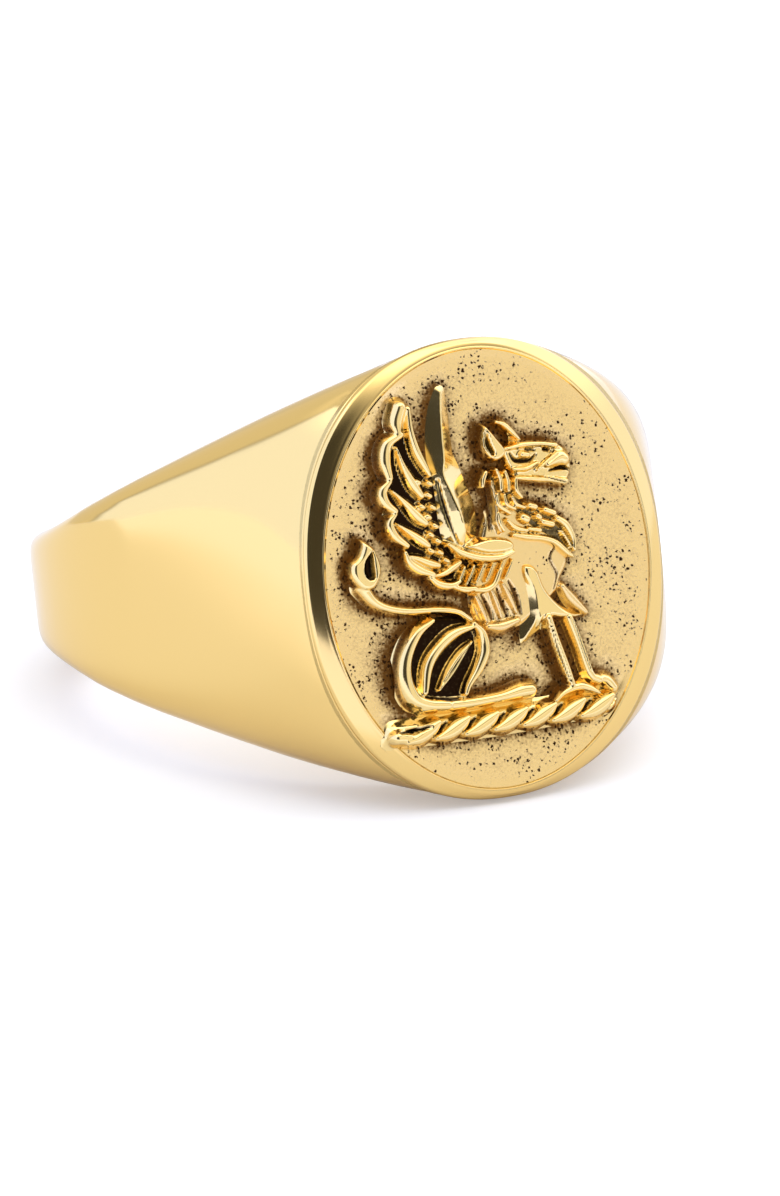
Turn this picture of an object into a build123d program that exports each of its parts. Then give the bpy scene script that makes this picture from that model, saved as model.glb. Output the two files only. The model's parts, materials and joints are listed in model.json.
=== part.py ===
"""A gentleman's oval signet ring with a winged beast in relief on its face.

The ring lies on its side, as it does when it is put down: it rests on the lower edge of its head and
on the lower edge of the back of its hoop, so its face looks toward -Y and a little upward.
Lengths are in millimetres.  Each piece is drawn upright first, with the finger axis along Z and the
face toward -Y, and is then laid down on the floor.
"""
import os
from math import acos, atan2, cos, exp, hypot, log1p, pi, radians, sin, sqrt

from build123d import *

os.makedirs("parts", exist_ok=True)

# ---------------------------------------------------------------- driving dimensions
BORE_RADIUS = 9.45          # 18.9 mm inside diameter, US size 9
HOOP_RADIUS = 11.25         # outside of the plain hoop
FACE_DISTANCE = 12.5        # finger axis to the flat of the face
HEAD_HALF_WIDTH = 6.6       # oval head, across the finger
HEAD_HALF_HEIGHT = 8.1      # oval head, along the finger
BACK_HALF_HEIGHT = 2.14     # half height of the hoop at the back
TAPER_START = -0.5          # where the hoop begins to widen toward the head
TAPER_SOFTNESS = 2.1        # length over which the widening comes in
HOOP_SQUARENESS = 9.0       # superellipse exponent of the hoop's section, 2 is an ellipse
SQUARE_FROM = 2.0           # forward of this the section turns slowly into the oval of the head

RIM_WIDTH = 0.42            # polished rim round the face
RIM_DEPTH = 0.45            # its height, seat to face
RIM_CHAMFER = 0.24          # bevel on its outer edge
PLATE_THICKNESS = 1.0       # the oval plate that carries the relief
CREST_ROOT = FACE_DISTANCE  # the relief stands on the plate's flat

# Height of each relief piece above the plate.
LOW = 0.28
MIDDLE = 0.40
HIGH = 0.52

SECTION_POINTS = 17         # points along the outside of one section of the shank


# ---------------------------------------------------------------- the shank's two outlines
shoulder_angle = atan2(HEAD_HALF_WIDTH, FACE_DISTANCE)
tangent_angle = shoulder_angle + acos(HOOP_RADIUS / hypot(HEAD_HALF_WIDTH, FACE_DISTANCE))
TANGENT_FORWARD = HOOP_RADIUS * cos(tangent_angle)
TANGENT_SIDE = HOOP_RADIUS * sin(tangent_angle)


def half_width(forward):
    """Seen along the finger: a round hoop, then straight shoulders tangent to it."""
    if forward < TANGENT_FORWARD:
        return sqrt(max(HOOP_RADIUS**2 - forward**2, 0))
    along = (forward - TANGENT_FORWARD) / (FACE_DISTANCE - TANGENT_FORWARD)
    return TANGENT_SIDE + along * (HEAD_HALF_WIDTH - TANGENT_SIDE)


def widening(forward):
    """A straight taper that comes in softly."""
    return log1p(exp((forward - TAPER_START) / TAPER_SOFTNESS))


def half_height(forward):
    """Seen from the side: a narrow back that widens steadily to the head."""
    share = widening(forward) / widening(FACE_DISTANCE)
    return BACK_HALF_HEIGHT + share * (HEAD_HALF_HEIGHT - BACK_HALF_HEIGHT)


def squareness(forward):
    """Exponent of the section: a true ellipse at the face, nearly square at the hoop."""
    share = (FACE_DISTANCE - forward) / (FACE_DISTANCE - SQUARE_FROM)
    return 2 + (HOOP_SQUARENESS - 2) * min(max(share, 0), 1)


# ---------------------------------------------------------------- laying the ring down
def gap_under_back(tilt):
    """Height of the back's lowest point over the rim's lowest point, at a tilt in degrees."""
    rise = sin(radians(tilt))
    level = cos(radians(tilt))
    rim_drop = HEAD_HALF_HEIGHT * level - (FACE_DISTANCE - RIM_CHAMFER) * rise
    dual = HOOP_SQUARENESS / (HOOP_SQUARENESS - 1)
    back_drop = ((HOOP_RADIUS * rise) ** dual + (BACK_HALF_HEIGHT * level) ** dual) ** (1 / dual)
    return rim_drop - back_drop


def resting_tilt():
    """The tilt at which head and back touch the floor together, found by halving."""
    low, high = 0.0, 45.0
    for _ in range(40):
        middle = (low + high) / 2
        if gap_under_back(middle) > 0:
            low = middle
        else:
            high = middle
    return low


TILT = resting_tilt()


def lay_down(shape):
    return shape.rotate(Axis.X, -TILT)


# ---------------------------------------------------------------- the shank
def section_face(width, height, exponent, inner, place):
    """Right half of one section: a superellipse outside, closed by a straight line at inner."""
    share = (abs(inner) / width) ** (exponent / 2)
    end = acos(share) if inner > 0 else pi - acos(share)
    points = []
    for index in range(SECTION_POINTS):
        angle = end * (2 * index / (SECTION_POINTS - 1) - 1)
        across = width * abs(cos(angle)) ** (2 / exponent)
        up = height * abs(sin(angle)) ** (2 / exponent)
        points.append(place(across if cos(angle) > 0 else -across, up if angle > 0 else -up))
    return make_face([Spline(*points), Line(points[-1], points[0])])


def hoop_section(angle):
    """Section of the hoop in a plane through the finger axis; 180 degrees is the back."""
    sine = sin(radians(angle))
    cosine = cos(radians(angle))

    def place(across, up):
        return across * sine, -across * cosine, up

    forward = HOOP_RADIUS * cosine
    return section_face(HOOP_RADIUS, half_height(forward), squareness(forward), CORE_RADIUS, place)


def head_section(forward):
    """Section of a shoulder or of the head in a plane parallel to the face."""

    def place(across, up):
        return across, -forward, up

    inner = max(CORE_RADIUS - forward * (CORE_RADIUS + OVERLAP) / CORE_LENGTH, -OVERLAP)
    return section_face(half_width(forward), half_height(forward), squareness(forward), inner, place)


CORE_RADIUS = 5.0           # hoop sections start here, and the bore takes this away
CORE_LENGTH = 8.0           # from here forward the half head reaches past the middle plane
OVERLAP = 1.0               # by this much, until it is split there
BACK_ANGLES = (195, 180, 165, 150, 135, 120, 105)
HEAD_STATIONS = (0, 2, 4, 6, 8, 10, 11.5, FACE_DISTANCE)


def oval(half_across, half_up, bottom, height):
    """An oval slab parallel to the face: bottom is its distance from the finger axis."""
    sketch = Plane.XZ.offset(bottom) * Ellipse(half_across, half_up)
    return extrude(sketch, height)


def make_shank():
    sections = [hoop_section(angle) for angle in BACK_ANGLES]
    sections += [head_section(forward) for forward in HEAD_STATIONS]
    half = split(loft(sections), Plane.YZ, Keep.TOP)
    half -= Cylinder(BORE_RADIUS, 4 * HEAD_HALF_HEIGHT)
    ring = half + mirror(half, Plane.YZ)
    seat = FACE_DISTANCE - RIM_DEPTH
    ring -= oval(2 * HEAD_HALF_WIDTH, 2 * HEAD_HALF_HEIGHT, seat, 2 * RIM_DEPTH)
    pocket_depth = PLATE_THICKNESS - RIM_DEPTH
    ring -= oval(PLATE_HALF_WIDTH, PLATE_HALF_HEIGHT, seat - pocket_depth, pocket_depth)
    return ring


# ---------------------------------------------------------------- rim and plate
PLATE_HALF_WIDTH = HEAD_HALF_WIDTH - RIM_WIDTH
PLATE_HALF_HEIGHT = HEAD_HALF_HEIGHT - RIM_WIDTH


def make_bezel_rim():
    seat = FACE_DISTANCE - RIM_DEPTH
    outer = oval(HEAD_HALF_WIDTH, HEAD_HALF_HEIGHT, seat, RIM_DEPTH)
    front_face = outer.faces().sort_by(Axis.Y)[0]
    outer = chamfer(front_face.edges(), RIM_CHAMFER)
    return outer - oval(PLATE_HALF_WIDTH, PLATE_HALF_HEIGHT, seat, RIM_DEPTH)


def make_face_plate():
    return oval(PLATE_HALF_WIDTH, PLATE_HALF_HEIGHT, CREST_ROOT - PLATE_THICKNESS, PLATE_THICKNESS)


# ---------------------------------------------------------------- the relief
# Outlines are drawn on the face: first number across the finger, second along it,
# both from the middle of the oval.
def raised(outline, height):
    """A relief piece: the outline stood up from the plate."""
    return extrude(Plane.XZ.offset(CREST_ROOT) * outline, height)


def smooth(*points):
    """A closed smooth outline through the points."""
    return make_face(Spline(*points, periodic=True))


def cornered(*points):
    return make_face(Polyline(*points, close=True))


WREATH_LEFT = -4.7
WREATH_RIGHT = 4.3
WREATH_LEVEL = -5.22
WREATH_HALF_HEIGHT = 0.40
WREATH_LOBES = 8


def wreath_outline():
    """A twisted roll of cloth: a bar with one slanted lobe for each turn."""
    length = WREATH_RIGHT - WREATH_LEFT
    middle = (WREATH_LEFT + WREATH_RIGHT) / 2
    shape = Pos(middle, WREATH_LEVEL) * SlotOverall(length, 1.7 * WREATH_HALF_HEIGHT)
    pitch = length / WREATH_LOBES
    for index in range(WREATH_LOBES):
        across = WREATH_LEFT + pitch * (index + 0.5)
        lobe = Pos(across, WREATH_LEVEL) * Rot(0, 0, 32) * Ellipse(0.62 * pitch, 0.36)
        shape += lobe
    return shape


def hind_leg_outline():
    """The seated haunch and the long hind foot that lies on the wreath."""
    return smooth(
        (-2.6, -1.45), (-3.4, -2.1), (-3.85, -3.1), (-3.6, -4.15), (-2.9, -4.6), (-1.6, -4.68),
        (0.0, -4.66), (1.1, -4.64), (1.3, -4.35), (0.9, -4.05), (0.3, -4.02), (-0.5, -4.25),
        (-1.3, -4.3), (-1.5, -4.0), (-0.8, -3.4), (-0.35, -2.6), (-0.65, -1.9), (-1.5, -1.4),
    )


def tail_outline():
    """A long tail that rises from the haunch and ends in a flame-shaped tuft."""
    stem = smooth(
        (-4.85, 0.1), (-4.35, -0.65), (-3.6, -1.05), (-2.6, -1.22), (-1.7, -1.38), (-1.0, -1.85),
        (-0.85, -1.7), (-1.3, -1.2), (-2.2, -1.0), (-3.3, -0.88), (-4.0, -0.6), (-4.4, 0.0),
    )
    tuft = smooth((-4.8, 1.65), (-5.25, 0.95), (-5.2, 0.2), (-4.6, -0.15), (-4.15, 0.4), (-4.2, 1.2))
    return stem + tuft


def wing_arm_outline():
    """The smooth leading bone of the wing, bent at the elbow into the shoulder."""
    return smooth(
        (-1.15, 6.35), (-1.02, 5.2), (-1.0, 4.2), (-0.72, 3.1), (-0.36, 2.2), (-0.45, 1.35),
        (0.1, 1.14), (0.75, 1.02), (0.92, 0.65), (0.5, 0.3), (-0.5, 0.34), (-1.35, 0.72),
        (-1.74, 1.4), (-1.76, 2.6), (-1.86, 3.8), (-1.72, 4.9), (-1.4, 6.0),
    )


def wing_feathers_outline():
    """The fan of flight feathers behind the arm, with a scalloped edge."""
    return smooth(
        (-2.8, 6.05), (-3.15, 5.5), (-3.2, 5.08), (-3.68, 4.8), (-3.78, 4.1), (-3.7, 3.5),
        (-3.97, 3.1), (-3.85, 2.6), (-3.52, 2.3), (-3.72, 1.9), (-3.5, 1.4), (-3.12, 1.05),
        (-3.2, 0.7), (-2.8, 0.25), (-2.4, 0.05), (-2.1, -0.32), (-1.5, -0.45), (-1.0, -0.62),
        (-0.3, -0.66), (0.1, -0.4), (0.35, 0.1), (-0.3, 0.5), (-1.3, 1.0), (-1.7, 2.4),
        (-1.9, 3.7), (-2.35, 4.2), (-2.45, 5.2), (-2.55, 5.9),
    )


def head_outline():
    """A beast's head in profile: pricked ears, long muzzle, open jaw."""
    return smooth(
        (0.2, 4.95), (0.03, 4.35), (0.3, 3.75), (0.35, 3.35), (0.95, 3.1), (1.6, 2.85),
        (2.3, 2.62), (3.0, 2.5), (3.3, 2.9), (3.45, 3.4), (3.3, 3.85), (2.8, 4.05),
        (2.0, 4.15), (1.55, 4.35), (1.35, 4.85), (0.95, 5.05), (0.7, 4.75),
    )


def mane_outline():
    """Curled mane from the cheek down to the pointed tuft of the breast."""
    return smooth(
        (0.55, 3.35), (1.3, 2.95), (1.5, 2.35), (2.1, 2.05), (2.75, 1.7), (3.1, 1.3),
        (3.3, 0.6), (3.1, 0.08), (2.7, 0.45), (2.2, 0.8), (1.3, 0.9), (0.8, 1.2), (0.35, 1.9),
        (0.25, 2.7),
    )


def near_foreleg_outline():
    """The near foreleg: shoulder drape with its two points, straight shin, spread paw."""
    drape = smooth(
        (1.15, 0.05), (1.6, -0.25), (1.95, -1.0), (2.6, -1.6), (3.15, -1.98), (2.4, -2.12),
        (1.85, -2.1), (1.55, -2.4), (1.05, -2.62), (1.25, -1.9), (1.15, -1.0), (0.85, -0.3),
    )
    shin = cornered((1.7, -2.0), (2.1, -2.0), (2.6, -4.5), (2.25, -4.5))
    paw = smooth((2.35, -4.35), (2.95, -4.42), (3.5, -4.7), (3.2, -4.84), (2.6, -4.72), (1.75, -4.84))
    return drape + shin + paw


def far_foreleg_outline():
    shin = cornered((2.55, -1.95), (3.1, -1.95), (3.5, -4.35), (3.0, -4.35))
    paw = smooth((3.2, -4.12), (3.9, -4.25), (4.25, -4.6), (4.0, -4.84), (3.55, -4.6), (3.1, -4.45))
    return shin + paw


def body_outline():
    """Chest, ribs and belly, low behind the legs and the wing."""
    return smooth(
        (0.4, 2.6), (-0.2, 1.6), (-0.6, 0.4), (-1.0, -0.7), (-0.8, -1.6), (-0.4, -2.1),
        (0.3, -2.3), (1.0, -2.1), (2.0, -1.9), (3.5, -2.05), (2.65, -1.0), (3.0, -0.1),
        (2.6, 0.8), (1.6, 1.6), (0.9, 2.4),
    )


def make_relief():
    """The relief pieces from the highest down: each lower one is cut round those above it."""
    stack = (
        ("wreath", wreath_outline(), HIGH),
        ("wing_arm", wing_arm_outline(), HIGH),
        ("near_foreleg", near_foreleg_outline(), HIGH),
        ("hind_leg", hind_leg_outline(), HIGH),
        ("head", head_outline(), MIDDLE),
        ("mane", mane_outline(), MIDDLE),
        ("wing_feathers", wing_feathers_outline(), MIDDLE),
        ("tail", tail_outline(), MIDDLE),
        ("far_foreleg", far_foreleg_outline(), LOW),
        ("body", body_outline(), LOW),
    )
    pieces = {}
    covered = None
    for name, outline, height in stack:
        free = outline if covered is None else outline - covered
        pieces[name] = raised(free, height)
        covered = outline if covered is None else covered + outline
    return pieces


# ---------------------------------------------------------------- write the pieces
pieces = {
    "shank": make_shank(),
    "bezel_rim": make_bezel_rim(),
    "face_plate": make_face_plate(),
}
pieces.update(make_relief())

laid = {name: lay_down(piece) for name, piece in pieces.items()}
box = Compound(list(laid.values())).bounding_box()
to_floor = Vector(-box.center().X, -box.center().Y, -box.min.Z)

for name, piece in laid.items():
    export_step(piece.translate(to_floor), f"parts/{name}.step")
    print(f"{name:14s} volume {piece.volume:8.2f} mm3  solids {len(piece.solids())}")
print(f"tilt {TILT:.2f} degrees, bore centre {to_floor.Y:.3f}, {to_floor.Z:.3f}, size {box.size}")
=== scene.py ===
# %% [markdown]
# # A gold signet ring with a winged beast in relief
# The ring lies on its side on a white table, resting on the lower edge of its head and on the back of
# its hoop.  This lesson builds it in the order of a goldsmith's bench: the polished body of the ring
# first, then the rim and the pitted plate of the face, and last the relief, one form beside the next.

# %% Load the frame
import json
import math

import bmesh
import bpy
import numpy as np
from mathutils import Matrix, Vector


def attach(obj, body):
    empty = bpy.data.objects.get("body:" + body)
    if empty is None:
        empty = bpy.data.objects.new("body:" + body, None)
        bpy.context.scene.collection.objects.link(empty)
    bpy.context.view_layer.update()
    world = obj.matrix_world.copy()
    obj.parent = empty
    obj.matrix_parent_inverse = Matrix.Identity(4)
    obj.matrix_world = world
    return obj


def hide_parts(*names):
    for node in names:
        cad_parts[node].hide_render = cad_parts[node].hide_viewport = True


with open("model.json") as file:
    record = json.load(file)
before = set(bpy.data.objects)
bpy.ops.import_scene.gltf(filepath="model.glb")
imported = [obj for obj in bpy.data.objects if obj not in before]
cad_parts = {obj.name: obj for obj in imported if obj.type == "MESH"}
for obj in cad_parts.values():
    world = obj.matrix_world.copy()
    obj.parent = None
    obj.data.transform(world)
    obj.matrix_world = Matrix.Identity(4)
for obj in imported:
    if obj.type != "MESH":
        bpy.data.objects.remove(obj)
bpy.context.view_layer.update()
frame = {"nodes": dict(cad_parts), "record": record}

record = frame["record"]
MM = 0.001
print("CAD nodes:", ", ".join(sorted(frame["nodes"])))

# %% [markdown]
# Everything on a ring is easiest to think of from the finger's axis.  The record states that axis as
# the mount of the bore, so a matrix made from it turns ring coordinates (across the finger, along the
# finger, out toward the face) into the shared frame.  The CAD nodes are then measured in it.

# %% Ring coordinates
bore = next(mount for mount in record["mounts"] if mount["name"] == "finger_bore")
along = Vector(bore["axis"]).normalized()
across = Vector((1, 0, 0))
outward = across.cross(along)
RING = Matrix.Translation(Vector(bore["pos_m"])) @ Matrix((across, along, outward)).transposed().to_4x4()
to_ring = RING.inverted()


def measure(node):
    """Lowest and highest corner of a CAD node in ring coordinates, in millimetres."""
    points = np.array([(to_ring @ vertex.co) / MM for vertex in frame["nodes"][node].data.vertices])
    return points.min(axis=0), points.max(axis=0)


BORE_RADIUS = bore["dims"]["r_mm"]
rim_low, rim_high = measure("bezel_rim")
plate_low, plate_high = measure("face_plate")
FACE_DISTANCE = float(rim_high[2])
SEAT_DISTANCE = float(rim_low[2])
HEAD_HALF_WIDTH = float(rim_high[0])
HEAD_HALF_HEIGHT = float(rim_high[1])
PLATE_HALF_WIDTH = float(plate_high[0])
PLATE_HALF_HEIGHT = float(plate_high[1])
HOOP_RADIUS = -float(measure("shank")[0][2])
FACE = RING @ Matrix.Translation((0, 0, FACE_DISTANCE * MM))
print(f"face {2 * HEAD_HALF_WIDTH:.1f} x {2 * HEAD_HALF_HEIGHT:.1f} mm, hoop radius {HOOP_RADIUS:.2f} mm")

# %% [markdown]
# ## Small helpers
# A bmesh is drawn in millimetres in ring or face coordinates and is put into the shared frame by one
# matrix when it becomes an object, so the finished object itself sits at the origin, unturned.


# %% Helpers for objects
def finish_piece(name, bm, place, material, node):
    """Puts a bmesh in millimetres into the shared frame and hands it over as one named piece."""
    bmesh.ops.transform(bm, matrix=place @ Matrix.Scale(MM, 4), verts=bm.verts)
    bmesh.ops.recalc_face_normals(bm, faces=bm.faces)
    mesh = bpy.data.meshes.new(name)
    bm.to_mesh(mesh)
    bm.free()
    mesh.shade_smooth()
    mesh.materials.append(material)
    piece = bpy.data.objects.new(name, mesh)
    bpy.context.scene.collection.objects.link(piece)
    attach(piece, "root")
    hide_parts(node)
    print(f"{name}: {len(mesh.polygons)} faces")


# %% Helpers for materials
def hex_colour(text):
    """An sRGB hex value as a linear colour."""
    channels = [int(text[index:index + 2], 16) / 255 for index in (1, 3, 5)]
    linear = [value / 12.92 if value < 0.04045 else ((value + 0.055) / 1.055) ** 2.4 for value in channels]
    return (*linear, 1.0)


def add_node(tree, kind, settings=None, inputs=None):
    """Adds one shader node of a kind; an input is given a value or the socket that feeds it."""
    node = tree.nodes.new("ShaderNode" + kind)
    for name, value in (settings or {}).items():
        setattr(node, name, value)
    for name, value in (inputs or {}).items():
        if isinstance(value, bpy.types.NodeSocket):
            tree.links.new(value, node.inputs[name])
        else:
            node.inputs[name].default_value = value
    return node


def new_material(name):
    """An empty node material and its tree."""
    material = bpy.data.materials.new(name)
    material.use_nodes = True
    material.node_tree.nodes.clear()
    return material, material.node_tree


# %% [markdown]
# ## Polished yellow gold
# The real metal is cast yellow gold, filed, sanded and buffed with rouge until it is a mirror.  Its
# colour is all in its reflection, so the material is fully metallic.  A buffed surface is never
# quite even: a slow waviness of about 3 mm and faint hairlines of a few hundredths of a millimetre
# keep the reflections from looking computed.


# %% Polished gold
def polished_gold():
    """Cast yellow gold, buffed with rouge to a mirror, with a faint waviness and hairlines."""
    material, tree = new_material("cast_gold_mirror_buffed")
    place = add_node(tree, "TexCoord").outputs["Object"]
    waviness = add_node(tree, "TexNoise", inputs={
        "Vector": place, "Scale": 1 / (3 * MM), "Detail": 1.0})
    hairlines = add_node(tree, "TexNoise", inputs={
        "Vector": place, "Scale": 1 / (0.06 * MM), "Detail": 2.0})
    buffed = add_node(tree, "MapRange", inputs={
        "Value": hairlines.outputs["Fac"], "To Min": 0.0825, "To Max": 0.143})
    waves = add_node(tree, "Bump", inputs={
        "Height": waviness.outputs["Fac"], "Strength": 0.04, "Distance": 0.02 * MM})
    surface = add_node(tree, "BsdfPrincipled", inputs={
        "Base Color": hex_colour("#F4D083"), "Metallic": 1.0, "Roughness": buffed.outputs["Result"],
        "Normal": waves.outputs["Normal"]})
    add_node(tree, "OutputMaterial", inputs={"Surface": surface.outputs["BSDF"]})
    return material


hoop_gold = polished_gold()
print("material:", hoop_gold.name)

# %% [markdown]
# ## Gold of the relief, with painted shade in its hollows
# The relief is the same gold, but the buff only reaches its high places.  Its grooves and creases are
# painted brown as shade.  Each relief mesh carries an attribute, 1 in a groove and 0 on a ridge, and
# the painted brown follows it.


# %% Relief gold
def gold_with_painted_shade():
    """Chased gold with painted shade: brown and dull where the attribute marks a groove or crease."""
    material, tree = new_material("chased_gold_painted_shade")
    place = add_node(tree, "TexCoord").outputs["Object"]
    painted_shade = add_node(tree, "Attribute", {"attribute_name": "painted_shade"}).outputs["Fac"]
    grain = add_node(tree, "TexNoise", inputs={
        "Vector": place, "Scale": 1 / (0.12 * MM), "Detail": 3.0})
    uneven = add_node(tree, "Math", {"operation": "MULTIPLY_ADD"}, {
        0: grain.outputs["Fac"], 1: 0.3, 2: -0.15})
    mottled = add_node(tree, "Math", {"operation": "ADD"}, {
        0: painted_shade, 1: uneven.outputs["Value"]})
    brown = add_node(tree, "MapRange", {"interpolation_type": "SMOOTHSTEP"}, {
        "Value": mottled.outputs["Value"], "From Min": 0.30, "From Max": 0.95})
    # Painted shade: the gold turns brown in grooves and creases, mottled by the grain.
    colour = add_node(tree, "Mix", {"data_type": "RGBA"}, {
        "Factor": brown.outputs["Result"], "A": hex_colour("#F7D890"),
        "B": hex_colour("#21140A")})
    dull = add_node(tree, "MapRange", inputs={
        "Value": brown.outputs["Result"], "To Min": 0.12, "To Max": 0.30})
    surface = add_node(tree, "BsdfPrincipled", inputs={
        "Base Color": colour.outputs["Result"], "Metallic": 1.0, "Roughness": dull.outputs["Result"]})
    add_node(tree, "OutputMaterial", inputs={"Surface": surface.outputs["BSDF"]})
    return material


relief_gold = gold_with_painted_shade()
print("material:", relief_gold.name)

# %% [markdown]
# ## Gold of the matted ground
# The ground behind the relief, and the low breast of the beast, were matted with a punch and then
# darkened: scattered pits up to about 0.15 mm wide keep the brown.  The corners beside the relief are
# painted brown as shade.
# A Voronoi pattern of 0.13 mm cells, shaken by noise, places the pits; each cell draws a lot whether it
# holds one, and the lots are better where the painted shade is strong.


# %% Ground gold
def pitted_gold():
    """Gold matted to satin with a punch, whose pits hold the oxide, with painted shade beside the relief."""
    material, tree = new_material("matted_gold_pits_painted_shade")
    place = add_node(tree, "TexCoord").outputs["Object"]
    painted_halo = add_node(tree, "Attribute", {"attribute_name": "painted_shade"}).outputs["Fac"]
    crowd = add_node(tree, "TexNoise", inputs={
        "Vector": place, "Scale": 1 / (1.1 * MM), "Detail": 2.0})
    wander = add_node(tree, "TexNoise", inputs={
        "Vector": place, "Scale": 1 / (0.08 * MM), "Detail": 2.0})
    shaken = add_node(tree, "VectorMath", {"operation": "MULTIPLY_ADD"}, {
        0: wander.outputs["Color"], 1: (0.16 * MM,) * 3, 2: place})
    dots = add_node(tree, "TexVoronoi", inputs={
        "Vector": shaken.outputs["Vector"], "Scale": 1 / (0.13 * MM)})
    chance = add_node(tree, "SeparateColor", inputs={"Color": dots.outputs["Color"]})
    likely = add_node(tree, "Math", {"operation": "MULTIPLY_ADD"}, {
        0: painted_halo, 1: 0.55, 2: crowd.outputs["Fac"]})
    room_for = add_node(tree, "MapRange", inputs={
        "Value": likely.outputs["Value"], "From Min": 0.42, "From Max": 0.74, "To Min": 0.05, "To Max": 0.85})
    size = add_node(tree, "Math", {"operation": "SUBTRACT"}, {
        0: room_for.outputs["Result"], 1: chance.outputs["Red"]})
    radius = add_node(tree, "MapRange", inputs={
        "Value": size.outputs["Value"], "From Min": 0.0, "From Max": 0.6, "To Min": 0.02, "To Max": 0.46})
    depth_in = add_node(tree, "Math", {"operation": "SUBTRACT"}, {
        0: radius.outputs["Result"], 1: dots.outputs["Distance"]})
    pit = add_node(tree, "MapRange", {"interpolation_type": "SMOOTHSTEP"}, {
        "Value": depth_in.outputs["Value"], "From Min": -0.10, "From Max": 0.10})
    fine = add_node(tree, "TexNoise", inputs={
        "Vector": place, "Scale": 1 / (0.09 * MM), "Detail": 2.0})
    veil = add_node(tree, "Math", {"operation": "MULTIPLY_ADD"}, {
        0: fine.outputs["Fac"], 1: 0.9, 2: -0.36})
    veiled = add_node(tree, "Math", {"operation": "ADD"}, {0: painted_halo, 1: veil.outputs["Value"]})
    brown = add_node(tree, "MapRange", {"interpolation_type": "SMOOTHSTEP"}, {
        "Value": veiled.outputs["Value"], "From Min": 0.16, "From Max": 1.05})
    dark = add_node(tree, "Math", {"operation": "MAXIMUM"}, {
        0: pit.outputs["Result"], 1: brown.outputs["Result"]})
    # Brown where the painted shade beside the relief and a random mottle add up; pits are darker still.
    mottled_and_shaded = add_node(tree, "Mix", {"data_type": "RGBA"}, {
        "Factor": brown.outputs["Result"], "A": hex_colour("#F2D08C"), "B": hex_colour("#704A1E")})
    colour = add_node(tree, "Mix", {"data_type": "RGBA"}, {
        "Factor": pit.outputs["Result"], "A": mottled_and_shaded.outputs["Result"], "B": hex_colour("#3A230F")})
    dull = add_node(tree, "MapRange", inputs={
        "Value": dark.outputs["Value"], "To Min": 0.24, "To Max": 0.6})
    depth = add_node(tree, "Math", {"operation": "MULTIPLY_ADD"}, {
        0: fine.outputs["Fac"], 1: 0.12, 2: pit.outputs["Result"]})
    dents = add_node(tree, "Bump", {"invert": True}, {
        "Height": depth.outputs["Value"], "Strength": 0.5, "Distance": 0.03 * MM})
    surface = add_node(tree, "BsdfPrincipled", inputs={
        "Base Color": colour.outputs["Result"], "Metallic": 1.0, "Roughness": dull.outputs["Result"],
        "Normal": dents.outputs["Normal"]})
    add_node(tree, "OutputMaterial", inputs={"Surface": surface.outputs["BSDF"]})
    return material


ground_gold = pitted_gold()
print("material:", ground_gold.name)

# %% [markdown]
# ## The body of the ring
# Seen along the finger it is a round hoop whose shoulders run straight to the head, and seen from the
# side it widens steadily toward the head.  A section is a rounded oblong at the hoop, taken across the
# wall there, and a true oval at the face.  A torus from create_circle and spin already has the right
# layout of faces, so each of its vertices is only slid along a ray from the middle of the bore's wall
# until it meets that form.

# %% Form of the body
BACK_HALF_HEIGHT = 2.14
TAPER_START = -0.5
TAPER_SOFTNESS = 2.1
HOOP_SQUARENESS = 9.0
SQUARE_FROM = 2.0
CROWN = 5.0          # the head is drawn on past the face by this much, then cut flat

half_angle = math.atan2(HEAD_HALF_WIDTH, FACE_DISTANCE)
tangent_angle = half_angle + math.acos(HOOP_RADIUS / math.hypot(HEAD_HALF_WIDTH, FACE_DISTANCE))
TANGENT_OUT = HOOP_RADIUS * math.cos(tangent_angle)
TANGENT_SIDE = HOOP_RADIUS * math.sin(tangent_angle)
print(f"the shoulders leave the round hoop {TANGENT_SIDE:.1f} mm to each side")


def crown_share(out):
    """1 up to the face, then falling to 0 in a quarter circle, which closes the crown."""
    past = np.clip((out - FACE_DISTANCE) / CROWN, 0, 0.9999)
    return np.sqrt(1 - past**2)


def half_width(out):
    """Seen along the finger: a round hoop, then straight shoulders tangent to it."""
    hoop = np.sqrt(np.maximum(HOOP_RADIUS**2 - out**2, 1e-9))
    slope = (HEAD_HALF_WIDTH - TANGENT_SIDE) / (FACE_DISTANCE - TANGENT_OUT)
    shoulder = TANGENT_SIDE + (out - TANGENT_OUT) * slope
    return np.where(out < TANGENT_OUT, hoop, shoulder) * crown_share(out)


def half_height(out):
    """Seen from the side: a straight taper toward the head that comes in softly."""
    soft = np.log1p(np.exp((out - TAPER_START) / TAPER_SOFTNESS))
    full = math.log1p(math.exp((FACE_DISTANCE - TAPER_START) / TAPER_SOFTNESS))
    return (BACK_HALF_HEIGHT + soft / full * (HEAD_HALF_HEIGHT - BACK_HALF_HEIGHT)) * crown_share(out)


def is_inside(side, height, out):
    """Whether places lie inside the body, bore not counted."""
    share = np.clip((FACE_DISTANCE - out) / (FACE_DISTANCE - SQUARE_FROM), 0, 1)
    power = 2 + (HOOP_SQUARENESS - 2) * share
    round_hoop = np.hypot(side, out) / HOOP_RADIUS
    reach = np.where(out < 0, round_hoop, np.abs(side) / half_width(out))
    oblong = reach**power + (np.abs(height) / half_height(out)) ** power
    return (oblong < 1) & (out < FACE_DISTANCE + CROWN)


# %% Make the body
TURNS = 288
SECTION_SIDES = 96
FARTHEST = 20.0      # longer than any ray inside the body
HALVINGS = 36


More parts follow.
